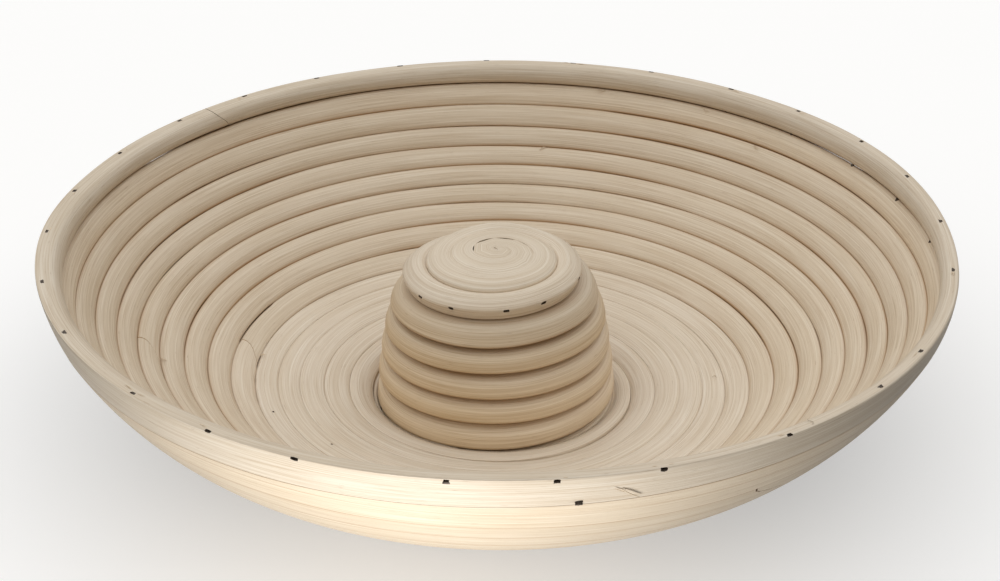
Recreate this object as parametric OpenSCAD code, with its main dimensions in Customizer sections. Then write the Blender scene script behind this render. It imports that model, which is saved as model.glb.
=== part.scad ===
// Ring proving basket (banneton) wound from planed rattan cane.
// One coil runs from the centre of the knob's cap, down the knob, across
// the floor and up the flared wall.  A closed hoop finishes the rim, and
// wire brads hold every turn to the turn inside it.
//
// Millimetres, +Z up.  The origin is the middle of the footprint, on the
// surface that the basket stands on.
//
// Places on the coil are counted in turns, s, from the rim inwards:
//   azimuth = 90 + 360 * s, counter-clockwise seen from above,
//   s = 0 is the groove line under the rim hoop at the back (+Y).
// A turn of cane lies between the groove line at s, its inner side, and
// the groove line at s - 1, its outer side.

/* [Cane] */
// Width of one planed turn, groove to groove
cane_pitch = 9.05; // [8:0.05:10]
// Diameter of the round cane before its two contact sides are planed
cane_d = 12; // [11:0.5:14]
// Groove line to the turned outer face of the basket
wall_t = 9.7; // [8:0.1:11]
// Gap left in each glued and nailed seam
seam_gap = 0.12; // [0.08:0.02:0.3]

/* [Floor and wall] */
// Radius where the flat floor ends and the wall begins to rise
floor_r = 79.5; // [70:0.5:90]
// Length of the bend from the floor into the wall
bend_len = 18; // [12:1:26]
// Slope of the lower wall from the horizontal, in degrees
low_angle = 30; // [24:1:36]
// Length of the straight lower wall
low_len = 28; // [20:1:40]
// Length of the curved upper wall
high_len = 49; // [40:1:60]
// Slope of the wall under the rim from the horizontal, in degrees
high_angle = 55; // [48:1:62]
// How far the floor dips round the foot of the knob
floor_dip = 3.4; // [0:0.2:4]

/* [Rim hoop] */
// Radius of the hoop's turned outer edge
rim_r = 162.4; // [161:0.1:164]
// Height of the hoop's top above the table, at the sides
rim_level = 69.9; // [68:0.1:72]
// Azimuth of the butt joint in the hoop, in degrees
rim_joint = 135.5; // [0:0.5:359]

/* [Knob] */
// Radius of the knob's lowest groove line
knob_r = 41; // [36:0.5:48]
// Rise of each stacked turn of the knob
knob_pitch = 9.4; // [8.6:0.1:10]
// Height of the knob's lowest groove line above the base
knob_foot = 5; // [4:0.5:6]
// Radius of the groove line where the stack passes into the cap
cap_r = 31.5; // [28:0.5:33]
// Rise of the cap from that line to its middle
cap_rise = 10.9; // [8:0.1:13]
// Depth of the knob's wall from its groove line inwards
knob_t = 8; // [7:0.2:9]
// Inner radius of the floor coil, where it meets the knob
foot_r = 43.4; // [43.4:0.1:50]

/* [Joints in the cane] */
// Scarf joint between the floor cane and the lower wall cane, in turns
splice_low = 9.230; // [8.8:0.01:9.6]
// Scarf joint between the lower and the middle wall cane, in turns
splice_mid = 5.278; // [4.8:0.01:5.8]
// Scarf joint between the middle and the upper wall cane, in turns
splice_top = 2.600; // [2.2:0.01:3.2]
// Length of each scarf along the cane, in turns
scarf = 0.019; // [0.01:0.001:0.03]

/* [Brads] */
// Spacing of the brads along each turn
nail_gap = 36; // [26:1:60]
// Diameter of the brad's wire
nail_d = 1.2; // [1:0.1:1.6]
// Length of each brad
nail_len = 15; // [12:0.5:16]
// Width of the brad's flattened head
head_w = 2.2; // [1.8:0.1:2.6]
// Thickness of the brad's flattened head
head_t = 1.2; // [1:0.1:1.4]

/* [Hidden] */

STEPS = 36;                         // straight steps in one wall turn
KNOB_STEPS = 24;                    // straight steps in one knob turn
gap_s = seam_gap / 2 / cane_pitch;  // half a seam gap, in turns
crown_r = cane_d / 2;               // radius of the round crown

// --- the wall's groove line, as [r, z, slope] at q mm outside floor_r ---
bend_r = bend_len / (low_angle * PI / 180);
high_r = high_len / ((high_angle - low_angle) * PI / 180);
q_rim = bend_len + low_len + high_len;   // length of the rising wall
s_floor = q_rim / cane_pitch;            // turns from the rim to the floor
rb = floor_r + bend_r * sin(low_angle);
zb = wall_t + bend_r * (1 - cos(low_angle));
rc = rb + low_len * cos(low_angle);
zc = zb + low_len * sin(low_angle);

function smooth(t) = let (u = min(1, max(0, t))) u * u * (3 - 2 * u);
function dip(r) = floor_dip * smooth((floor_r - 2 - r) / 33);
function arc_a(q) = low_angle + (q - bend_len - low_len) / high_r * 180 / PI;
function wall_at(q) =
    q < 0 ? let (r = max(foot_r, floor_r + q)) [r, wall_t - dip(r), 0] :
    q < bend_len ? let (a = q / bend_r * 180 / PI)
        [floor_r + bend_r * sin(a), wall_t + bend_r * (1 - cos(a)), a] :
    q < bend_len + low_len ? let (d = q - bend_len)
        [rb + d * cos(low_angle), zb + d * sin(low_angle), low_angle] :
    [rc + high_r * (sin(arc_a(q)) - sin(low_angle)),
     zc + high_r * (cos(low_angle) - cos(arc_a(q))), arc_a(q)];

// groove line and outer face of floor and wall at s, as [r, z]
function groove(s) = let (w = wall_at(q_rim - cane_pitch * s)) [w[0], w[1]];
// the outside is turned down to one smooth face, most of all near the rim
function turned(s) = wall_t * (1 - 0.62 * pow(max(0, 1 - s / 6), 1.35))
    + 0.5 * smooth((s - 6) / 1.5) * smooth((9.6 - s) / 1.2);
function outer(s) = let (w = wall_at(q_rim - cane_pitch * s), t = turned(s))
    [w[0] + t * sin(w[2]), w[2] == 0 ? 0 : w[1] - t * cos(w[2])];

// the closed line under the hoop: it follows the coil round the back and
// steps back one turn round the front, where the last turn is skived away
function hoop_s(az) = let (a = (az % 360 + 360) % 360)
    a <= 180 ? (a - 90) / 360 : 0.25 - 0.5 * smooth((a - 180) / 180);

// --- the knob's groove line, s counted on past the floor ---
s_foot = 14.5;                 // lowest stacked groove line, at the front
s_cap = 19.5;                  // stack passes into the cap, at the front
s_end = 23.4;                  // groove line reaches the cap's middle
s_tip = 24.12;                 // skived tip of the cane, curled in there
k4 = (knob_r - 4 - cap_r) / 625;
cap_z = knob_foot + knob_pitch * (s_cap - s_foot);
cap_step = cap_r / (s_end - s_cap);
function knob(s) = s < s_cap
    ? let (u = s - s_foot) [knob_r - 0.8 * u - k4 * pow(max(u, 0), 4),
                            max(0, knob_foot + knob_pitch * u)]
    : let (r = max(0.7, cap_step * (s_end - s)))
      [r, cap_z + cap_rise * (1 - pow(r / cap_r, 2.4))];
function unit(v) = v / max(norm(v), 0.0001);
// direction into the cane from the visible side, at a knob groove line
function knob_in(s) = let (t = smooth((s - 18.6) / 2.6))
    unit([-(1 - t), -t]);

// --- one ring of points round the cane at s ---
function polar(p, s) = let (a = 90 + 360 * s)
    [pole_x + p[0] * cos(a), p[0] * sin(a), p[1]];
function bulge(w, c) = let (h = min(c, cane_d * 0.95) / 2, x = h * (2 * w - 1))
    sqrt(crown_r * crown_r - x * x) - sqrt(crown_r * crown_r - h * h);
function mix(a, b, w) = a + (b - a) * w;
// the crown is sanded down inside the bowl, most of all on the floor
function sanded(s) = 0.62 - 0.4 * smooth((s - 9.4) / 2.4);

// wall and floor: inner side on the groove line s, outer side one turn out
function out_s(s) = s - 1 >= 0.25 ? s - 1 : hoop_s(90 + 360 * s);
function wall_ring(s, skew) = let (
        so = out_s(s), a = groove(s - gap_s), b = groove(so + gap_s),
        c = norm(b - a), up = unit([-(b - a)[1], (b - a)[0]]))
    [for (k = [0 : 6]) let (
        w = k < 5 ? k / 4 : (k == 5 ? 1 : 0),
        sk = s + skew * (0.5 - w),
        ak = groove(sk - gap_s),
        bk = groove(out_s(sk) + gap_s))
        polar(k < 5 ? mix(ak, bk, w) + up * sanded(s) * bulge(w, c)
              : outer(k == 5 ? out_s(sk) + gap_s : sk - gap_s), sk)];

// knob: the same cane on its way up the stack and in across the cap
knob_t_at = function (s) knob_t * (1 - 0.22 * smooth((s - 19) / 1.5));
function knob_ring(s) = let (
        a = knob(s - gap_s), b = knob(s - 1 + gap_s),
        c = max(norm(b - a), 0.5), up = unit([(a - b)[1], -(a - b)[0]]),
        g = 1 + 0.5 * smooth(1 - abs(s - 19.6) / 1.2),
        ia = a + knob_in(s) * knob_t_at(s),
        ib = b + knob_in(s - 1) * knob_t_at(s - 1))
    [for (p = [for (k = [0 : 4]) mix(a, b, k / 4) + up * g * bulge(k / 4, c),
               ib, mix(ib, ia, 0.5) - up * min(1.4, c * 0.15), ia])
        polar([p[0], max(p[1], 0)], s)];

// closed skin over a list of equal rings
module sweep(rings) {
    n = len(rings);
    m = len(rings[0]);
    polyhedron(
        points = [for (r = rings) each r],
        faces = concat(
            [[for (i = [0 : m - 1]) i]],
            [[for (i = [0 : m - 1]) n * m - 1 - i]],
            [for (j = [0 : n - 2], i = [0 : m - 1]) each let (
                i2 = (i + 1) % m,
                p = j * m + i, q = j * m + i2,
                u = (j + 1) * m + i, v = (j + 1) * m + i2)
                [[p, u, q], [q, u, v]]]),
        convexity = 8);
}

// the whole steps between two places on the coil, with the ends themselves
function stops(a, b, n) = concat([a],
    [for (k = [ceil(a * n + 0.35) : floor(b * n - 0.35)]) k / n], [b]);

s_skive = s_foot + 0.8;   // the floor cane's thin start, at the knob
pole_x = -cane_pitch * cos(high_angle) / 4;   // centres the rim hoop

module wall_cane(a, b, skew_a, skew_b)
    sweep([for (s = stops(a, b, STEPS))
        wall_ring(s, s == a ? skew_a : (s == b ? skew_b : 0))]);

// azimuths of the brads that show in the top of the hoop and round the cap
rim_nail_az = [4, 17, 29, 42, 54, 67, 79, 92, 105, 118, 130, 142, 155, 168,
    181, 195, 208.5, 225.5, 237.5, 248.5, 265, 276.5, 288, 303.5, 319, 329,
    351];
cap_nail_az = [130, 172, 216, 241, 276, 301, 341, 380, 418];

// --- brads: head flush in the outer side of a turn, point driven inwards ---
module brad(p, dir, az, len) {
    // dir is [r, z]; the brad lies in the upright plane at azimuth az
    translate(p) rotate([0, 0, az])
        rotate([0, 90 - atan2(dir[1], dir[0]), 0]) union() {
            cylinder(h = len, d = nail_d, $fn = 24);
            translate([-head_t / 2, -head_w / 2, 0])
                cube([head_t, head_w, 0.8]);
        }
}
function radius_at(s) = s > s_foot ? knob(s)[0] : groove(s)[0];
function nail_stops(a, b) = a >= b ? [] : concat([a],
    nail_stops(a + nail_gap / (2 * PI * max(radius_at(a), 9)), b));
module wall_brads(a, b)
    for (s = nail_stops(a, b)) let (
            so = out_s(s), p = groove(so + gap_s), e = outer(so + gap_s),
            n = unit(groove(s) - groove(so)))
        if (norm(groove(s) - groove(so)) > 5)
            brad(polar(mix(p, e, 0.5), s), n, 90 + 360 * s, nail_len);
module knob_brads(a, b)
    for (s = nail_stops(a, b)) let (
            p = knob(s - 1 + gap_s) + knob_in(s - 1) * knob_t * 0.45,
            q = knob(s - gap_s) + knob_in(s) * knob_t * 0.45)
        brad(polar(p, s), unit(q - p), 90 + 360 * s, nail_len);

// --- the pieces ---
module knob_coil()
    color([0.80, 0.71, 0.56])
        sweep([for (s = stops(14.08, s_tip, KNOB_STEPS)) knob_ring(s)]);
module floor_coil()
    color([0.84, 0.77, 0.66])
        wall_cane(splice_low + 0.0005, s_skive, scarf, 0);
module lower_wall_coil()
    color([0.82, 0.74, 0.61])
        wall_cane(splice_mid + 0.0005, splice_low - 0.0005, scarf, scarf);
module middle_wall_coil()
    color([0.84, 0.75, 0.62])
        wall_cane(splice_top + 0.0005, splice_mid - 0.0005, scarf, scarf);
module upper_wall_coil()
    color([0.82, 0.73, 0.60])
        wall_cane(0.325, splice_top - 0.0005, 0, scarf);

// rim hoop: one turn on the closed line, with a butt joint; its outer edge
// is turned to a true circle, and its top rises a little to the back right
function rim_top(az) = rim_level - 0.6 * sin(az)
    + 2.2 * cos(az) * smooth((sin(az) + 0.2) / 0.6);
function rim_ring(az) = let (
        s = hoop_s(az), g = groove(s), o = outer(s) + [0, seam_gap],
        p = [g[0], g[1] + seam_gap / 2],
        w = rim_r - p[0], h = rim_top(az) - p[1])
    [for (d = [[0.3, 0], [-1.6, 0.28 * h], [-1.6, 0.58 * h], [-0.4, 0.86 * h],
               [w - 3.2, h], [w - 0.6, h - 0.1], [w, h - 3.5], o - p])
        [pole_x + (p[0] + d[0]) * cos(az), (p[0] + d[0]) * sin(az),
         p[1] + d[1]]];
module rim_hoop()
    color([0.84, 0.76, 0.65])
        sweep([for (k = [0 : STEPS]) rim_ring(
            k == 0 ? rim_joint + 0.05 : k == STEPS ? rim_joint + 359.95 :
            ceil(rim_joint / 10 + k - 1) * 10)]);

module cap_nails()
    color([0.30, 0.24, 0.19])
        for (az = cap_nail_az) let (
                s = 20 + (az - 90) / 360, p = knob(s - 1) + [-0.2, 3.4],
                n = unit([-1, 0.05]))
            brad(polar(p, s), n, 90 + 360 * s, nail_len);
module knob_nails()
    color([0.30, 0.24, 0.19]) knob_brads(15.05, 19.95);
module floor_nails()
    color([0.30, 0.24, 0.19]) wall_brads(splice_low + 0.03, s_foot - 0.1);
module lower_wall_nails()
    color([0.30, 0.24, 0.19]) wall_brads(splice_mid + 0.03, splice_low - 0.03);
module middle_wall_nails()
    color([0.30, 0.24, 0.19]) wall_brads(splice_top + 0.03, splice_mid - 0.03);
module upper_wall_nails()
    color([0.30, 0.24, 0.19]) {
        wall_brads(0.5, splice_top - 0.03);
        // one more from outside, at the front, just under the hoop's seam
        let (az = 279, p = outer(hoop_s(az)) + [0.35, 0.9])
            brad([pole_x + p[0] * cos(az), p[0] * sin(az), p[1]],
                 unit([-0.72, -0.69]), az, nail_len);
    }
module rim_nails()
    color([0.30, 0.24, 0.19])
        for (az = rim_nail_az) let (
                r = rim_r - 0.3 - 1.7 * abs(cos(az)),
                z = rim_top(az) - 0.1 - smooth((-sin(az) - 0.6) / 0.4))
            brad([pole_x + r * cos(az), r * sin(az), z],
                 unit([-0.35, -1]), az, nail_len);

knob_coil();
floor_coil();
lower_wall_coil();
middle_wall_coil();
upper_wall_coil();
rim_hoop();
cap_nails();
knob_nails();
floor_nails();
lower_wall_nails();
middle_wall_nails();
upper_wall_nails();
rim_nails();
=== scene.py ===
import bpy, math
import numpy as np
from mathutils import Matrix, Vector


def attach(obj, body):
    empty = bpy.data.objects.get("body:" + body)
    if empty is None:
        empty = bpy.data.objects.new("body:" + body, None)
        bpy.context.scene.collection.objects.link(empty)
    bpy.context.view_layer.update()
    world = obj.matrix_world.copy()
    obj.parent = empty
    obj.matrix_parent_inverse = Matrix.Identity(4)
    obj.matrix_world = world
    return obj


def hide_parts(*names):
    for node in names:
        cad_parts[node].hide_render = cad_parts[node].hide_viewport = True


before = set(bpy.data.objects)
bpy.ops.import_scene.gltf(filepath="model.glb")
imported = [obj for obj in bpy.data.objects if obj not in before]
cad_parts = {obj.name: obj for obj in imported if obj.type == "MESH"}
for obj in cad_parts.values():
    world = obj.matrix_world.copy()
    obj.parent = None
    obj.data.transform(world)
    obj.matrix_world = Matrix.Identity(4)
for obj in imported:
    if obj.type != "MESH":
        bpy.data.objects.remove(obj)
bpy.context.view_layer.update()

MM = 0.001
R = math.radians
rng = np.random.default_rng(11)

# ---------------------------------------------------------------- camera
# On the viewing side (-Y), 28 degrees down, rolled 0.7 degrees.
cam_data = bpy.data.cameras.new("camera")
cam_data.sensor_fit = "HORIZONTAL"
cam_data.sensor_width = 36.0
cam_data.lens = 79.96
cam_data.clip_start = 0.01
cam = bpy.data.objects.new("camera", cam_data)
bpy.context.collection.objects.link(cam)
bpy.context.scene.camera = cam
pitch, yaw, roll = R(28.29), R(0.04), R(0.68)
fw = Vector((math.sin(yaw) * math.cos(pitch), math.cos(yaw) * math.cos(pitch), -math.sin(pitch)))
right = fw.cross(Vector((0, 0, 1))).normalized()
up = right.cross(fw)
cx = math.cos(roll) * right + math.sin(roll) * up
cy = -math.sin(roll) * right + math.cos(roll) * up
rot = Matrix((cx, cy, -fw)).transposed().to_4x4()
cam.matrix_world = Matrix.Translation((-0.0007, -0.7081, 0.4273)) @ rot

# ------------------------------------------- the coil, in mm, as in the CAD
PITCH, WALL_T = 9.05, 9.7
FLOOR_R, BEND, LOW_A, LOW, HIGH, HIGH_A, DIP = 79.5, 18.0, 30.0, 28.0, 49.0, 55.0, 3.4
RIM_R, RIM_LEVEL, JOINT_AZ = 162.4, 69.9, 135.5
KNOB_R, KNOB_P, KNOB_Z, CAP_R, CAP_RISE, KNOB_T, FOOT_R = 41.0, 9.4, 5.0, 31.5, 10.9, 8.0, 43.4
SPLICE = (9.230, 5.278, 2.600)
SCARF = 0.019
S_FOOT, S_CAP, S_END, S_TIP = 14.5, 19.5, 23.4, 24.12
POLE_X = -PITCH * math.cos(R(HIGH_A)) / 4
BR = BEND / R(LOW_A)
HR = HIGH / R(HIGH_A - LOW_A)
Q_RIM = BEND + LOW + HIGH
RB, ZB = FLOOR_R + BR * math.sin(R(LOW_A)), WALL_T + BR * (1 - math.cos(R(LOW_A)))
RC, ZC = RB + LOW * math.cos(R(LOW_A)), ZB + LOW * math.sin(R(LOW_A))


def smooth(t):
    u = np.clip(t, 0.0, 1.0)
    return u * u * (3 - 2 * u)


def waves(s, seed, freqs, amps):
    """Slow irregularity along the coil: a few sine waves, seeded."""
    g = np.random.default_rng(seed)
    out = np.zeros_like(np.asarray(s, float))
    for f, a in zip(freqs, amps):
        out = out + a * np.sin(2 * math.pi * (f * s + g.random()))
    return out


def wall_at(s):
    q = Q_RIM - PITCH * np.asarray(s, float)
    rf = np.maximum(FOOT_R, FLOOR_R + q)
    zf = WALL_T - DIP * smooth((FLOOR_R - 2 - rf) / 33)
    a1 = np.clip(q, 0, BEND) / BR
    d = np.clip(q - BEND, 0, LOW)
    a3 = R(LOW_A) + (q - BEND - LOW) / HR
    r = np.select([q < 0, q < BEND, q < BEND + LOW],
                  [rf, FLOOR_R + BR * np.sin(a1), RB + d * math.cos(R(LOW_A))],
                  RC + HR * (np.sin(a3) - math.sin(R(LOW_A))))
    z = np.select([q < 0, q < BEND, q < BEND + LOW],
                  [zf, WALL_T + BR * (1 - np.cos(a1)), ZB + d * math.sin(R(LOW_A))],
                  ZC + HR * (math.cos(R(LOW_A)) - np.cos(a3)))
    a = np.select([q < 0, q < BEND, q < BEND + LOW], [0 * q, a1, 0 * q + R(LOW_A)], a3)
    return r, z, a


def groove(s):
    """Groove line at s, with the hand-wound unevenness both neighbours share."""
    r, z, a = wall_at(s)
    k = smooth((14.4 - s) / 1.0) * (0.35 + 0.65 * smooth((s - 0.2) / 0.8))
    wt = k * waves(s, 3, (0.9, 2.3, 4.1, 7.7), (0.16, 0.14, 0.10, 0.05))
    wn = k * waves(s, 4, (1.3, 3.1, 5.3), (0.16, 0.12, 0.06))
    wt = wt - k * smooth(s / 2) * (0.4 + 1.7 * np.exp(-((s - 8.9) / 1.7) ** 2))
    return np.stack([r + wt * np.cos(a) - wn * np.sin(a), z + wt * np.sin(a) + wn * np.cos(a)], -1)


def turned(s):
    """Thickness left by the turning of the outside."""
    thin = 0.62 * np.maximum(0, 1 - s / 6) ** 1.35
    return WALL_T * (1 - thin) + 0.5 * smooth((s - 6) / 1.5) * smooth((9.6 - s) / 1.2)


def outer(s):
    s = np.asarray(s, float)
    r, z, a = wall_at(s)
    t = turned(s)
    return np.stack([r + t * np.sin(a), np.where(a == 0, 0.0, z - t * np.cos(a))], -1)


def rim_top(az):
    a = np.radians(az)
    return RIM_LEVEL - 0.6 * np.sin(a) + 2.2 * np.cos(a) * smooth((np.sin(a) + 0.2) / 0.6)


def hoop_s(az):
    a = np.mod(az, 360.0)
    return np.where(a <= 180, (a - 90) / 360, 0.25 - 0.5 * smooth((a - 180) / 180))


def out_s(s):
    s = np.asarray(s, float)
    return np.where(s - 1 >= 0.25, s - 1, hoop_s(90 + 360 * s))


GAPS = [(8.172, 8.226, 0.30), (9.226, 9.246, 0.26), (9.256, 9.268, 0.20), (9.276, 9.292, 0.16),
        (0.120, 0.150, 0.28), (5.283, 5.300, 0.14)]


def seam(s):
    """Half width of the open seam at the visible side, mm."""
    s = np.asarray(s, float)
    k = 1 - 0.9 * smooth((s - 8.4) / 1.4)
    g = 0.02 + k * (0.02 + 0.13 * smooth(2.4 * waves(s, 5, (1.7, 3.9, 8.3), (0.5, 0.45, 0.35)) - 0.5))
    for a, b, w in GAPS:
        g = g + w * smooth((s - a) / 0.004) * smooth((b - s) / 0.004)
    return g


def flat(s):
    """Height of the sanded crown, mm: rounder on the wall, almost flat on the floor."""
    return 1.25 - 0.95 * smooth((np.asarray(s, float) - 7.7) / 2.6)


def unit(v):
    return v / np.maximum(np.linalg.norm(v, axis=-1, keepdims=True), 1e-6)


K4 = (KNOB_R - 4 - CAP_R) / 625
CAP_Z = KNOB_Z + KNOB_P * (S_CAP - S_FOOT)


def stack_lift(s):
    """How far the knob's stacked turns stand above the CAD's groove line, mm."""
    return 0.8 * smooth((s - 14.6) / 0.8) * smooth((18.6 - s) / 1.2)


def knob(s):
    """Groove line of the knob at s: a tapering stack, then the domed cap."""
    s = np.asarray(s, float)
    u = s - S_FOOT
    r_cap = np.maximum(0.7, CAP_R / (S_END - S_CAP) * (S_END - s))
    r = np.where(s < S_CAP, KNOB_R - 0.8 * u - K4 * np.maximum(u, 0) ** 4, r_cap)
    z = np.where(s < S_CAP, np.maximum(0, KNOB_Z + KNOB_P * u),
                 CAP_Z + CAP_RISE * (1 - (r_cap / CAP_R) ** 2.4))
    w = waves(s, 6, (1.1, 2.9, 5.1), (0.14, 0.10, 0.06)) * smooth((s - 15) / 0.5)
    return np.stack([r, z + w + stack_lift(s)], -1)


def knob_in(s):
    """Direction from the knob's groove line into its cane: inwards, then down in the cap."""
    t = smooth((np.asarray(s, float) - 18.6) / 2.6)
    return unit(np.stack([-(1 - t), -t], -1))


# ---------------------------------------------------------------- mesh help
def polar(p, s):
    a = R(90) + 2 * math.pi * s
    return np.stack([POLE_X + p[..., 0] * np.cos(a), p[..., 0] * np.sin(a), p[..., 1]], -1) * MM


def make_mesh(name, verts, faces, mat, attrs=None, uv=None, body="root"):
    me = bpy.data.meshes.new(name)
    me.from_pydata([tuple(v) for v in verts], [], faces)
    me.update()
    for k, v in (attrs or {}).items():
        at = me.attributes.new(k, "FLOAT", "POINT")
        at.data.foreach_set("value", np.asarray(v, np.float32).ravel())
    if uv is not None:
        lay = me.uv_layers.new(name="UVMap")
        idx = np.empty(len(me.loops), np.int32)
        me.loops.foreach_get("vertex_index", idx)
        lay.data.foreach_set("uv", np.asarray(uv, np.float32)[idx].ravel())
    for p in me.polygons:
        p.use_smooth = True
    ob = bpy.data.objects.new(name, me)
    bpy.context.collection.objects.link(ob)
    me.materials.append(mat)
    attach(ob, body)
    return ob


def sweep(name, pts, edge, along, tone, warm, mat):
    """A closed tube through n rings of m points, with capped ends.

    pts is n x m x 3 in metres; edge is n x m; along is n, in mm; tone is
    n or one number; warm is n or n x m.
    """
    n, m = pts.shape[:2]
    d = np.linalg.norm(np.roll(pts, -1, 1) - pts, axis=2)
    across = np.concatenate([np.zeros((n, 1)), np.cumsum(d, 1)[:, :-1]], 1)
    across = np.repeat(across.mean(0, keepdims=True), n, 0)
    j, i = np.meshgrid(np.arange(n - 1), np.arange(m), indexing="ij")
    i2 = (i + 1) % m
    quads = np.stack([j * m + i, (j + 1) * m + i, (j + 1) * m + i2, j * m + i2], -1).reshape(-1, 4)
    faces = [tuple(int(v) for v in q) for q in quads]
    verts = pts.reshape(-1, 3)
    for row, flip in ((0, False), (n - 1, True)):
        base = len(verts)
        verts = np.concatenate([verts, pts[row], pts[row].mean(0, keepdims=True)])
        for k in range(m):
            a, b, c = base + k, base + (k + 1) % m, base + m
            faces.append((b, a, c) if flip else (a, b, c))
    n_end = 2 * (m + 1)                  # vertices of the two end caps

    def per_vert(x):
        return np.concatenate([x.reshape(-1), np.ones(n_end)])

    al = np.repeat(along[:, None], m, 1) * MM
    uv = np.stack([al.reshape(-1), across.reshape(-1)], -1)
    uv = np.concatenate([uv, verts[n * m:, :2] * 0.5])
    return make_mesh(name, verts, faces, mat, {
        "edge": per_vert(edge),
        "tone": per_vert(np.repeat((tone + np.zeros(n))[:, None], m, 1)),
        "cut": np.concatenate([np.zeros(n * m), np.ones(n_end)]),
        "warm": per_vert(np.asarray(warm).reshape(n, -1) * np.ones((n, m)))}, uv)


def shade_by_angle(ob, deg):
    me = ob.data
    me.set_sharp_from_angle(angle=R(deg))


# ---------------------------------------------------------------- materials
def new_mat(name):
    mat = bpy.data.materials.new(name)
    mat.use_nodes = True
    nt = mat.node_tree
    return mat, nt, nt.nodes["Principled BSDF"]


def node(nt, kind, **kw):
    nd = nt.nodes.new(kind)
    for k, v in kw.items():
        setattr(nd, k, v)
    return nd


def mixc(nt, fac, a, b, blend="MIX"):
    nd = node(nt, "ShaderNodeMix", data_type="RGBA", blend_type=blend)
    for sock, v in ((0, fac), (6, a), (7, b)):
        if isinstance(v, bpy.types.NodeSocket):
            nt.links.new(v, nd.inputs[sock])
        else:
            nd.inputs[sock].default_value = v
    return nd.outputs[2]


def mth(nt, op, a, b, clamp=False):
    nd = node(nt, "ShaderNodeMath", operation=op, use_clamp=clamp)
    for i, v in enumerate((a, b)):
        if isinstance(v, bpy.types.NodeSocket):
            nt.links.new(v, nd.inputs[i])
        else:
            nd.inputs[i].default_value = v
    return nd.outputs[0]


def ramp(nt, fac, stops):
    nd = node(nt, "ShaderNodeValToRGB")
    el = nd.color_ramp.elements
    while len(el) < len(stops):
        el.new(0.5)
    for e, (p, c) in zip(el, stops):
        e.position = p
        e.color = c if len(c) == 4 else (*c, 1)
    nt.links.new(fac, nd.inputs[0])
    return nd.outputs[0]


def noise(nt, vec, scale, detail=3.0, rough=0.55):
    nd = node(nt, "ShaderNodeTexNoise")
    nt.links.new(vec, nd.inputs["Vector"])
    nd.inputs["Scale"].default_value = scale
    nd.inputs["Detail"].default_value = detail
    nd.inputs["Roughness"].default_value = rough
    return nd.outputs["Fac"]


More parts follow.
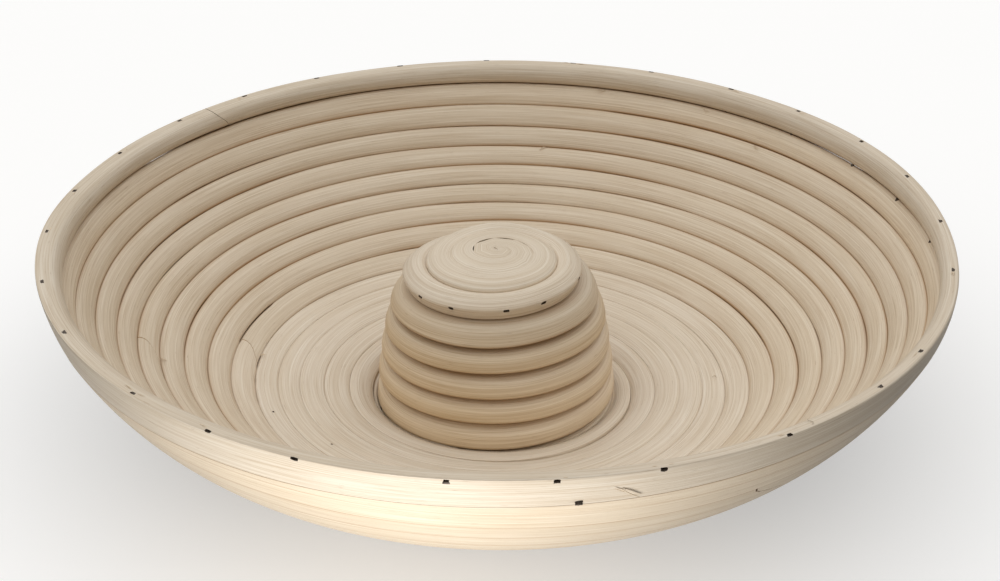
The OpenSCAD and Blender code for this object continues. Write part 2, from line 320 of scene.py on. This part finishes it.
def cane_material():
    mat, nt, bs = new_mat("cane")
    uv = node(nt, "ShaderNodeUVMap", uv_map="UVMap").outputs[0]
    obj = node(nt, "ShaderNodeTexCoord").outputs["Object"]
    at = {k: node(nt, "ShaderNodeAttribute", attribute_name=k).outputs["Fac"]
          for k in ("edge", "tone", "cut", "warm")}

    def stretch(x, y):
        mp = node(nt, "ShaderNodeMapping")
        mp.inputs["Scale"].default_value = (x, y, 1)
        nt.links.new(uv, mp.inputs["Vector"])
        return mp.outputs[0]

    streak = noise(nt, stretch(7, 700), 1.0, 3, 0.6)      # 1.5 mm wide, long
    fine = noise(nt, stretch(28, 2600), 1.0, 4, 0.65)     # fine fibres
    pores = noise(nt, stretch(160, 3400), 1.0, 2, 0.5)    # short open pores
    blotch = noise(nt, obj, 26, 3, 0.5)
    slow = noise(nt, stretch(3.2, 60), 1.0, 2, 0.5)
    base = mixc(nt, ramp(nt, streak, [(0.30, (0, 0, 0)), (0.72, (1, 1, 1))]),
                (0.660, 0.565, 0.445, 1), (0.755, 0.675, 0.565, 1))
    base = mixc(nt, mth(nt, "MULTIPLY", ramp(nt, fine, [(0.36, (1, 1, 1)), (0.56, (0, 0, 0))]), 0.85),
                base, (0.520, 0.405, 0.280, 1))
    base = mixc(nt, mth(nt, "MULTIPLY", ramp(nt, blotch, [(0.35, (0, 0, 0)), (0.7, (1, 1, 1))]), 0.35),
                base, (0.72, 0.625, 0.515, 1))
    base = mixc(nt, mth(nt, "MULTIPLY", ramp(nt, slow, [(0.4, (0, 0, 0)), (0.75, (1, 1, 1))]), 0.4),
                base, (0.65, 0.545, 0.405, 1))
    light = noise(nt, stretch(16, 1500), 1.0, 3, 0.6)     # pale fibres between
    base = mixc(nt, mth(nt, "MULTIPLY", ramp(nt, light, [(0.52, (0, 0, 0)), (0.66, (1, 1, 1))]), 0.5),
                base, (0.83, 0.765, 0.665, 1))
    # open pores, thin and brown
    pf = ramp(nt, pores, [(0.24, (1, 1, 1)), (0.31, (0, 0, 0))])
    base = mixc(nt, mth(nt, "MULTIPLY", pf, 0.55), base, (0.34, 0.20, 0.10, 1))
    # warm brown towards the seams: dark seam lines, plus painted shade on each cane's inner side and on the
    # top of each knob turn
    ef = mth(nt, "MULTIPLY", mth(nt, "POWER", at["edge"], 1.5, clamp=True), 0.8, clamp=True)
    base = mixc(nt, ef, base, (0.40, 0.225, 0.095, 1))
    # tone: each cane's own lighter or darker colour, plus painted light and shade on the top wall turns and
    # on the knob
    tone = mth(nt, "ADD", mth(nt, "MULTIPLY", at["tone"], 0.10), 0.95)
    hsv = node(nt, "ShaderNodeHueSaturation")
    nt.links.new(base, hsv.inputs["Color"])
    nt.links.new(tone, hsv.inputs["Value"])
    base = hsv.outputs[0]
    # warm: yellower and darker; on the knob it also carries painted shade and painted light
    base = mixc(nt, at["warm"], base, mixc(nt, 1.0, base, (0.94, 0.80, 0.575, 1), "MULTIPLY"))
    base = mixc(nt, mth(nt, "MULTIPLY", at["cut"], 0.6), base, (0.42, 0.27, 0.14, 1))
    nt.links.new(base, bs.inputs["Base Color"])
    rgh = mth(nt, "ADD", mth(nt, "MULTIPLY", fine, 0.22), 0.44)
    nt.links.new(rgh, bs.inputs["Roughness"])
    bs.inputs["Specular IOR Level"].default_value = 0.32
    bs.inputs["Subsurface Weight"].default_value = 0.0
    h = mth(nt, "ADD", mth(nt, "MULTIPLY", fine, 0.7), mth(nt, "MULTIPLY", streak, 0.6))
    h = mth(nt, "SUBTRACT", h, mth(nt, "MULTIPLY", pf, 0.35))
    bump = node(nt, "ShaderNodeBump")
    bump.inputs["Strength"].default_value = 0.55
    bump.inputs["Distance"].default_value = 0.00035
    nt.links.new(h, bump.inputs["Height"])
    nt.links.new(bump.outputs[0], bs.inputs["Normal"])
    return mat


def brad_material():
    mat, nt, bs = new_mat("brad_steel")
    obj = node(nt, "ShaderNodeTexCoord").outputs["Object"]
    n = noise(nt, obj, 900, 3)
    steel = ramp(nt, n, [(0.35, (0.045, 0.032, 0.022)), (0.7, (0.16, 0.13, 0.11))])
    nt.links.new(steel, bs.inputs["Base Color"])
    bs.inputs["Metallic"].default_value = 0.55
    bs.inputs["Roughness"].default_value = 0.6
    return mat


def pit_material():
    mat, nt, bs = new_mat("torn_hole_painted_shade")
    obj = node(nt, "ShaderNodeTexCoord").outputs["Object"]
    n = noise(nt, obj, 1400, 3)
    # dark brown inside the holes: the torn wood's colour, darkened with painted shade in the hole
    torn = ramp(nt, n, [(0.35, (0.035, 0.020, 0.010)), (0.7, (0.14, 0.085, 0.045))])
    nt.links.new(torn, bs.inputs["Base Color"])
    bs.inputs["Roughness"].default_value = 0.9
    return mat


CANE = cane_material()
BRAD = brad_material()
PIT = pit_material()

# ---------------------------------------------------------------- the canes
STEP = 2.6      # mm between rings


def stations(a, b, radius):
    """Values of s from a to b about STEP mm apart along the cane."""
    grid = np.linspace(a, b, 4000)
    rr = np.maximum(radius(grid), 3.0)
    ln = np.concatenate([[0], np.cumsum(0.5 * (rr[1:] + rr[:-1]) * np.diff(grid) * 2 * math.pi)])
    n = max(3, int(round(ln[-1] / STEP)) + 1)
    along = np.linspace(0, ln[-1], n)
    return np.interp(along, ln, grid), along


CW = 0.5 - 0.5 * np.cos(np.linspace(0, math.pi, 15))      # across the crown


def wall_cane(name, a, b, skew_a, skew_b, tone, seed):
    s0, along = stations(a, b, lambda g: wall_at(g)[0])
    ramp_a = np.clip(1 - along / 26.0, 0, 1) ** 2
    ramp_b = np.clip(1 - (along[-1] - along) / 26.0, 0, 1) ** 2
    skew = skew_a * ramp_a + skew_b * ramp_b
    cols, edge = [], []

    def at(w, kind):
        """Point across the cane; w = 0 on the inner groove, 1 on the outer."""
        # scarf ends curve over from one groove to the other
        s = s0 + skew * ((1 - w) ** 2.2 - 0.5)
        so = out_s(s)
        A, B = groove(s), groove(so)
        t = unit(B - A)
        up_ = np.stack([-t[:, 1], t[:, 0]], -1)
        c = np.linalg.norm(B - A, axis=1)
        ga, gb = seam(s), seam(so)
        if kind == "crown":
            crown = flat(s) * (1 + waves(s, seed, (2.1, 4.7, 9.1), (0.10, 0.08, 0.05)))
            x = abs(2 * w - 1)
            h = crown * (1 - x ** 2.2) - 0.22 * x ** 16
            p = A + (B - A) * w + up_ * h[:, None]
            p = p + t * (ga * (1 - w) - gb * w)[:, None]
            drop = 1.9 * (1 - w) ** 3 * smooth((s - 13.35) / 0.4)      # dips at the knob's foot
            p[:, 1] -= drop + 2.6 * smooth((s - 14.55) / 0.6)
        elif kind == "side_b":
            e = outer(so)
            p = B + (e - B) * 0.22 - t * 0.04
        elif kind == "side_a":
            e = outer(s)
            p = A + (e - A) * 0.22 + t * 0.04
        elif kind[0] == "o":
            x = float(kind[1:])
            sx = so + (s - so) * x
            p = outer(sx)
            inset = 0.04 if x in (0.0, 1.0) else 0.0
            p = p + up_ * inset
        return polar(p, s)

    for w in CW:
        cols.append(at(w, "crown"))
        # edge: dark seam lines at both grooves, plus painted shade: a brown gradient on each cane's inner
        # side
        edge.append(0.75 * abs(2 * w - 1) ** 12 + 0.25 * (1 - w) ** 3)
    cols.append(at(1.0, "side_b")); edge.append(1.0)
    for x in (0.0, 0.05, 0.25, 0.5, 0.75, 0.95, 1.0):
        cols.append(at(1.0 - x, "o%g" % x))
        edge.append(0.75 if x in (0.0, 1.0) else 0.12 if x in (0.05, 0.95) else 0.0)
    cols.append(at(0.0, "side_a")); edge.append(1.0)
    pts = np.stack(cols, 1)
    tint = 1 - 0.8 * smooth((s0 - 8.2) / 1.6)
    tint = tint * (1 + waves(s0, seed + 7, (1.3, 3.7, 6.1), (0.3, 0.25, 0.2)))
    e = np.array(edge)[None] * tint[:, None]
    warm = 0.22 - 0.20 * smooth((s0 - 8.4) / 2.0)      # the wall is a little yellower than the floor
    # tone: each cane's own tone, plus painted light: the top wall turns are made lighter towards the rim
    return sweep(name, pts, e, along, tone + 1.1 * (1 - smooth((s0 - 0.5) / 2.6)), warm, CANE)


G = 0.00035         # half the gap left in a scarf, in turns
canes = {}
S_START = 0.325     # where the wall's outermost cane begins, under the hoop
for part, a, b, skew_a, skew_b, tone, seed in (
        ("floor", SPLICE[0] + G, S_FOOT + 0.95, SCARF, 0, 0.55, 21),
        ("lower_wall", SPLICE[1] + G, SPLICE[0] - G, SCARF, SCARF, 0.30, 22),
        ("middle_wall", SPLICE[2] + G, SPLICE[1] - G, SCARF, SCARF, 0.50, 23),
        ("upper_wall", S_START, SPLICE[2] - G, 0, SCARF, 0.35, 24)):
    canes[part + "_coil"] = wall_cane(part + "_cane", a, b, skew_a, skew_b, tone, seed)


# crown of the knob's turns: across, and out, for stack, cap's lowest turn, next one, and the rest
KW = [0, 0.03, 0.08, 0.15, 0.25, 0.36, 0.5, 0.64, 0.78, 0.88, 0.95, 0.985, 1.0]
KH = [[-2.2, -2.0, -1.5, -0.6, 0.8, 2.1, 2.65, 2.75, 2.75, 2.65, 2.5, 2.2, 1.4],
      [0.2, 0.7, 1.4, 2.3, 3.05, 3.3, 3.35, 3.2, 2.95, 2.7, 2.4, 2.0, 1.3],
      [0.1, 0.25, 0.4, 0.6, 0.9, 1.2, 1.5, 1.7, 1.7, 1.5, 1.15, 0.8, 0.4],
      [0.05, 0.12, 0.2, 0.28, 0.36, 0.42, 0.44, 0.42, 0.36, 0.26, 0.16, 0.10, 0.05]]


def knob_cane():
    s0, along = stations(14.08, S_TIP, lambda g: knob(g)[:, 0])
    n = len(s0)
    A, B = knob(s0), knob(s0 - 1)
    lift = smooth((s0 - 1 - 18.95) / 0.25) * smooth((20.35 - (s0 - 1)) / 0.4)
    B = B + np.stack([0.5 * lift, 1.8 * lift], -1)
    c = np.maximum(np.linalg.norm(B - A, axis=1), 0.5)
    d = unit(A - B)
    up_ = np.stack([d[:, 1], -d[:, 0]], -1)
    kt = KNOB_T * (1 - 0.22 * smooth((s0 - 19) / 1.5))
    ia, ib = A + knob_in(s0) * kt[:, None], B + knob_in(s0 - 1) * kt[:, None]
    tight = 0.5 * (1 - smooth((s0 - 20.6) / 0.5))
    ga, gb = seam(s0) * tight, seam(s0 - 1) * tight
    ga = ga - 0.5 * smooth((s0 - 20.6) / 0.5)      # the innermost turns are pressed together
    k = smooth(c / 5)
    q1, q2, q3 = smooth((s0 - 19.6) / 0.4), smooth((s0 - 20.9) / 0.4), smooth((s0 - 21.9) / 0.5)
    kind = np.stack([1 - q1, q1 - q1 * q2, q2 - q2 * q3, q3], 0)
    irr = 1 + waves(s0, 31, (2.3, 5.1), (0.06, 0.05))
    cols, edge = [], []
    for w in CW:                         # w = 0 upper/inner groove, 1 lower/outer
        h = sum(kind[i] * np.interp(w, KW, KH[i]) for i in range(4)) * irr
        p = A + (B - A) * w + up_ * (h * smooth(c / 4))[:, None]
        p = p - d * ((ga * (1 - w) - gb * w) * k)[:, None]
        cols.append(p)
        # edge: dark line at each turn's lower edge, plus painted shadow on the top of the turn, under the
        # turn above
        edge.append(0.8 * w ** 18 + 0.55 * (1 - smooth((w - 0.12) / 0.2)))
    band = B + np.stack([-0.9 * lift, -2.1 * lift], -1) + (ib - B) * (0.2 * (1 - lift))[:, None]
    cols.append(band); edge.append(0.8)
    cols.append(ib + d * (0.05 * k)[:, None]); edge.append(0.9)
    for w in (0.15, 0.35, 0.65, 0.85):
        cols.append(ib + (ia - ib) * w - up_ * (np.minimum(1.5, c * 0.17) * 4 * w * (1 - w))[:, None])
        edge.append(0.2)
    cols.append(ia - d * (0.05 * k)[:, None]); edge.append(0.9)
    cols.append(A + (ia - A) * 0.2 - d * (0.04 * k)[:, None]); edge.append(1.0)
    p = np.stack(cols, 1)
    p[..., 1] = np.maximum(p[..., 1], 0.0)
    pts = polar(p, s0[:, None])
    m = pts.shape[1]
    tint = (1 - 0.88 * smooth((s0 - 19.6) / 0.4)) * (1 + waves(s0, 37, (1.3, 3.7), (0.15, 0.15)))
    e = np.array(edge)[None] * tint[:, None]
    # side: painted light, a lighter, cooler tone painted on the knob's right, which the sky leaves too dark
    side = np.maximum(0, np.cos(2 * np.pi * (s0 + 0.25) - R(342))) * smooth((19.5 - s0) / 1.5)
    # warm: yellower on the stack than on the cap; painted shade, yellower and darker towards each turn's
    # lower edge; less yellow on the right, painted light
    across = np.array([0.42 + 0.62 * w for w in CW] + [1.0] * (m - len(CW)))
    warm = (0.80 - 0.75 * smooth((s0 - 18.8) / 1.4) - 0.34 * side)[:, None] * across[None]
    # tone: darker on the stack's upper turns, painted shade; lighter on the cap; lighter on the right,
    # painted light
    return sweep("knob_cane", pts[:, ::-1], e[:, ::-1], along,
                 0.35 - 0.5 * smooth((s0 - 16.8) / 1.2) + 1.0 * smooth((s0 - 19.7) / 0.8) + 0.75 * side,
                 warm[:, ::-1], CANE)


canes["knob_coil"] = knob_cane()

# the hoop's inner face: r from the groove line in mm, and share of the hoop's height
HOOP_IN = np.array([(0.15, 0.02), (-0.9, 0.10), (-1.6, 0.24), (-1.9, 0.40), (-1.8, 0.56),
                    (-1.3, 0.71), (-0.4, 0.84)])
# edge darkening at each point round the hoop
HOOP_E = np.array([.9, .3, .1] + [0] * 12 + [0, 0, 0, 0, .1, .4, 1, 1.0])


def hoop_cane():
    n = int(2 * math.pi * 160 / STEP)
    az = np.linspace(JOINT_AZ + 0.05, JOINT_AZ + 359.95, n)
    s = hoop_s(az)
    g = groove(s)
    o = outer(s) + np.array([0.02, 0.18])
    wob = waves(az / 360, 41, (3, 7, 12), (0.10, 0.06, 0.05))
    w = RIM_R + 0.5 * wob - g[:, 0]
    h = rim_top(az) + wob - g[:, 1]
    cols = [np.stack([0 * w + x, h * y], -1) for x, y in HOOP_IN]
    for u, v in ((0.12, 0.92), (0.28, 0.965), (0.46, 0.99), (0.66, 1.0), (0.82, 1.0), (0.93, 0.988)):
        cols.append(np.stack([-0.4 + u * (w + 0.4), h * v], -1))
    cols.append(np.stack([w - 0.06, h - 0.32], -1))                # the arris
    top, bot = np.stack([w + 0.04, h - 0.9], -1), o - g
    for u, b in ((0.0, 0.0), (0.2, 0.22), (0.45, 0.34), (0.7, 0.28), (0.9, 0.12), (1.0, 0.0)):
        cols.append(top + (bot - top) * u + np.array([0.88, -0.48]) * b)
    cols.append(bot * 0.9 + np.array([0.0, -0.05]))
    cols.append(bot * 0.5 + np.array([0.03, 0.05]))
    prof = np.stack(cols, 1)
    p = g[:, None, :] + prof
    # the butt joint: a slanting cut, curved over the crown
    end = np.clip(1 - np.minimum(np.arange(n), n - 1 - np.arange(n)) * STEP / 12, 0, 1)
    a2 = az[:, None] + end[:, None] * (smooth(prof[:, :, 1] / 9.0) - 0.4) * 2.4
    pts = polar(p, (a2 - 90) / 360)
    m = pts.shape[1]
    e = np.repeat(HOOP_E[None, :m], n, 0)
    along = (az - az[0]) / 360 * 2 * math.pi * 160
    return sweep("rim_hoop_cane", pts, e, along, 0.25, np.full(n, 0.05), CANE)


canes["rim_hoop"] = hoop_cane()
for node_name, ob in canes.items():
    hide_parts(node_name)
    shade_by_angle(ob, 50)

# ---------------------------------------------------------------- brads
RIM_AZ = [4, 17, 29, 42, 54, 67, 79, 92, 105, 118, 130, 142, 155, 168, 181, 195, 208.5, 225.5, 237.5, 248.5,
          265, 276.5, 288, 303.5, 319, 329, 351]
CAP_AZ = [130, 172, 216, 241, 276, 301, 341, 380, 418]
OUTSIDE_BRAD_AZ = 279
FLOOR_MARKS = ((199.25, 9.73), (219.5, 10.97))      # azimuth, s


def place(r, z, az):
    a = R(az)
    return np.array([POLE_X + r * math.cos(a), r * math.sin(a), z])


def carve(ob, spots):
    """Cut a torn hole round each brad. spots: (r, z, az, (nr, nz), length, width, depth) in mm."""
    verts, faces = [], []
    for r, z, az, nrz, ln, wd, dp in spots:
        a = R(az)
        nn = np.array([nrz[0] * math.cos(a), nrz[0] * math.sin(a), nrz[1]])
        nn /= np.linalg.norm(nn)
        tt = np.array([-math.sin(a), math.cos(a), 0.0])
        ss = np.cross(nn, tt)
        o = place(r, z, az)
        base = len(verts)
        th = (np.arange(10) + 0.5) / 10 * 2 * math.pi
        jit = 1 + rng.uniform(-0.16, 0.16, 10)
        ring = [(math.copysign(abs(math.cos(q)) ** 0.55, math.cos(q)) * ln / 2 * j,
                 math.copysign(abs(math.sin(q)) ** 0.55, math.sin(q)) * wd / 2 * j) for q, j in zip(th, jit)]
        for lv, k in ((2.5, 1.0), (-dp, 0.86)):
            for u, v in ring:
                verts.append((o + tt * u * k + ss * v * k + nn * lv) * MM)
        for k in range(10):
            k2 = (k + 1) % 10
            faces.append((base + k, base + 10 + k, base + 10 + k2, base + k2))
        faces.append(tuple(base + k for k in range(10)))
        faces.append(tuple(base + 19 - k for k in range(10)))
    me = bpy.data.meshes.new("cutter")
    me.from_pydata([tuple(v) for v in verts], [], faces)
    me.update()
    me.materials.append(PIT)
    c = bpy.data.objects.new("cutter", me)
    bpy.context.collection.objects.link(c)
    mod = ob.modifiers.new("torn", "BOOLEAN")
    mod.operation, mod.solver, mod.object, mod.material_mode = "DIFFERENCE", "EXACT", c, "TRANSFER"
    dg = bpy.context.evaluated_depsgraph_get()
    new = bpy.data.meshes.new_from_object(ob.evaluated_get(dg), preserve_all_data_layers=True, depsgraph=dg)
    ob.modifiers.clear()
    ob.data = new
    bpy.data.objects.remove(c)
    shade_by_angle(ob, 50)


spots = []
for az in RIM_AZ:
    front = float(smooth((-math.sin(R(az)) - 0.6) / 0.4))
    spots.append((RIM_R - 0.3 - 1.7 * abs(math.cos(R(az))), float(rim_top(az)) - 0.1 - front, az,
                  (0.35 + 0.9 * front, 1 - 0.4 * front),
                  rng.uniform(2.1, 2.7), rng.uniform(1.1, 1.5), 0.35))
q = outer(hoop_s(OUTSIDE_BRAD_AZ))
spots.append((q[0] + 0.35, q[1] + 0.9, OUTSIDE_BRAD_AZ, (0.88, 0.48), 2.9, 1.7, 0.5))
carve(canes["rim_hoop"], spots)
spots = []
for az in CAP_AZ:
    s = 20 + (az - 90) / 360
    q = knob(s - 1)
    z = q[1] + 3.4 - float(stack_lift(s - 1))      # the CAD's brads have no lift
    spots.append((q[0] - 0.2, z, 90 + 360 * s, (1, -0.05), rng.uniform(2.1, 2.4), 1.15, 0.25))
carve(canes["knob_coil"], spots)
spots = []
for az, sg in FLOOR_MARKS:
    q = groove(np.array(sg))
    spots.append((q[0], q[1] + 0.25, az, (0, 1), 1.0, 0.8, 0.5))
carve(canes["floor_coil"], spots)

# ------------------------------------------------- torn chips and loose fibres
FV, FF, FT = [], [], []


def fibre(pts, r0, tone=0.8, flatk=1.0):
    """A thin tapered tube through points (mm)."""
    P = np.array(pts, float)
    t = np.linspace(0, 1, 4 * len(P) - 3)
    tk = np.linspace(0, 1, len(P))
    Q = np.stack([np.interp(t, tk, P[:, i]) for i in range(3)], -1)
    Q[1:-1] = (Q[:-2] + 2 * Q[1:-1] + Q[2:]) / 4
    d = unit(np.gradient(Q, axis=0))
    side = unit(np.cross(d, np.array([0, 0, 1.0])))
    up_ = np.cross(side, d)
    rr = r0 * np.sqrt(np.clip(4 * (t * 0.94 + 0.03) * (1 - t * 0.94 - 0.03), 0, 1))
    base = len(FV)
    for i in range(len(Q)):
        for k in range(5):
            q = 2 * math.pi * k / 5
            FV.append((Q[i] + side[i] * rr[i] * math.cos(q) + up_[i] * rr[i] * flatk * math.sin(q)) * MM)
    n = len(Q)
    for i in range(n - 1):
        for k in range(5):
            k2 = (k + 1) % 5
            FF.append((base + 5 * i + k, base + 5 * i + k2, base + 5 * i + 5 + k2, base + 5 * i + 5 + k))
    FF.append(tuple(base + 4 - k for k in range(5)))
    FF.append(tuple(base + 5 * (n - 1) + k for k in range(5)))
    FT.extend([tone] * (5 * n))


def on_wall(az, sg, lift):
    q = groove(np.array(float(sg)))
    a = float(wall_at(sg)[2])
    return place(q[0] - lift * math.sin(a), q[1] + lift * math.cos(a), az)


def on_hoop(az, dr, dz):
    """dr inwards from the turned edge, dz above the rim's top, mm."""
    return place(RIM_R - dr, float(rim_top(az)) + dz, az)


for az in RIM_AZ:                    # chips beside the brads, along the cane
    for k in range(int(rng.integers(0, 3))):
        side = rng.choice([-1, 1])
        a0 = az + side * rng.uniform(0.3, 0.6)
        dr = 0.4 + 1.7 * abs(math.cos(R(az))) + rng.uniform(-0.2, 0.8)
        ln = side * rng.uniform(0.8, 1.6)
        fibre([on_hoop(a0, dr, -0.08), on_hoop(a0 + ln * 0.5, dr + rng.uniform(-0.2, 0.2), 0.16),
               on_hoop(a0 + ln, dr + rng.uniform(-0.1, 0.4), -0.06)], rng.uniform(0.14, 0.22), 1.6, 0.5)
FRAYED = ((73.5, 0.0, 1), (57.2, 0.0, -1), (82.0, 3.0, 1), (46.8, 0.9, -1), (190.5, 5.20, 1),
          (172.5, 9.2, 1))           # azimuth, s, direction along the cane
for az, sg, sd in FRAYED:
    for k in range(3):
        a1 = az + rng.uniform(-0.4, 0.4)
        fibre([on_wall(a1, sg, 0.0),
               on_wall(a1 + sd * rng.uniform(0.2, 0.5), sg + 0.08, rng.uniform(0.8, 1.6)),
               on_wall(a1 + sd * rng.uniform(0.6, 1.2), sg + rng.uniform(0.1, 0.3), rng.uniform(1.2, 2.2))],
              rng.uniform(0.09, 0.15), 0.9)
# single hairs and slivers: across the rim, on the floor, and on the outside
fibre([on_hoop(307.4, 4.4, 0.0), on_hoop(306.9, 3.0, 0.45), on_hoop(307.3, 1.6, 0.35),
       on_hoop(306.6, 0.2, -0.6)], 0.10, -3)
fibre([on_wall(0.1, 10.12, 1.0), on_wall(0.6, 10.22, 1.0), on_wall(0.3, 10.34, 0.9)], 0.13, -1.5)
fibre([on_wall(0.6, 10.22, 1.0), on_wall(1.2, 10.13, 0.9)], 0.11, -1.5)
fibre([on_hoop(283.4, 0.1, -5.6), on_hoop(284.4, 0.1, -7.6), on_hoop(285.6, 0.9, -9.8)], 0.34, 2.0, 0.5)
fibre([on_hoop(282.6, 0.1, -4.9), on_hoop(283.1, 0.2, -5.8), on_hoop(283.8, 0.4, -6.8)], 0.20, 2.0, 0.5)
nf = len(FV)
make_mesh("loose_fibres", FV, FF, CANE,
          {"edge": np.zeros(nf), "cut": np.zeros(nf), "warm": np.full(nf, 0.3),
           "tone": np.array(FT)}, np.array(FV)[:, :2])

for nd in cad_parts:
    if nd.endswith("_nails"):
        ob = bpy.data.objects.get(nd)
        if ob:
            for i in range(len(ob.material_slots)):
                ob.material_slots[i].material = BRAD

# ---------------------------------------------------------------- the stage
def stage_floor():
    me = bpy.data.meshes.new("floor")
    s = 6.0
    me.from_pydata([(-s, -s, 0), (s, -s, 0), (s, s, 0), (-s, s, 0)], [], [(0, 1, 2, 3)])
    ob = bpy.data.objects.new("floor", me)
    bpy.context.collection.objects.link(ob)
    mat, nt, bs = new_mat("pale_floor")
    bs.inputs["Base Color"].default_value = (0.60, 0.60, 0.60, 1)
    bs.inputs["Emission Color"].default_value = (1, 1, 1, 1)
    bs.inputs["Emission Strength"].default_value = 0.42
    bs.inputs["Roughness"].default_value = 0.8
    me.materials.append(mat)
    ob.visible_diffuse = False
    ob.visible_shadow = False


stage_floor()


def area(name, loc, target, size, power, colour):
    ld = bpy.data.lights.new(name, "AREA")
    ld.shape = "RECTANGLE"
    ld.size, ld.size_y = size
    ld.energy = power
    ld.color = colour
    ob = bpy.data.objects.new(name, ld)
    bpy.context.collection.objects.link(ob)
    ob.location = loc
    ob.visible_camera = False
    ob.rotation_euler = (Vector(target) - Vector(loc)).to_track_quat("-Z", "Y").to_euler()
    return ob


# below floor level, which the floor lets through: it lights the underside of the front
area("front_low", (-0.058, -0.325, -0.040), (-0.018, -0.12, 0.034),
     (0.12, 0.05), 0.66, (1.0, 1.0, 0.99))
# the sky is bright above and dark near the horizon, darkest towards the front right
world = bpy.data.worlds.new("world")
bpy.context.scene.world = world
world.use_nodes = True
wt = world.node_tree
wg = node(wt, "ShaderNodeTexCoord").outputs["Generated"]
wz = node(wt, "ShaderNodeSeparateXYZ")
wt.links.new(wg, wz.inputs[0])
aim = node(wt, "ShaderNodeVectorMath", operation="DOT_PRODUCT")
wt.links.new(wg, aim.inputs[0])
aim.inputs[1].default_value = (0.766, -0.643, 0.0)      # front right
dark = mth(wt, "MULTIPLY", mth(wt, "MAXIMUM", aim.outputs["Value"], 0.0), 0.13)
lift = mth(wt, "SUBTRACT", mth(wt, "ADD", mth(wt, "MULTIPLY", wz.outputs[2], 0.5), 0.5), dark)
SKY = [(0.49, (0.04, 0.037, 0.033)), (0.59, (0.09, 0.082, 0.072)), (0.66, (0.36, 0.34, 0.305)),
       (0.72, (0.88, 0.855, 0.81)), (0.79, (1.22, 1.20, 1.15)), (0.88, (1.32, 1.31, 1.29)),
       (0.95, (1.15, 1.16, 1.17)), (1.0, (0.95, 0.97, 1.0))]
sky = ramp(wt, lift, SKY)
wt.links.new(sky, wt.nodes["Background"].inputs[0])
wt.nodes["Background"].inputs[1].default_value = 0.955
bpy.context.scene.view_settings.view_transform = "Standard"
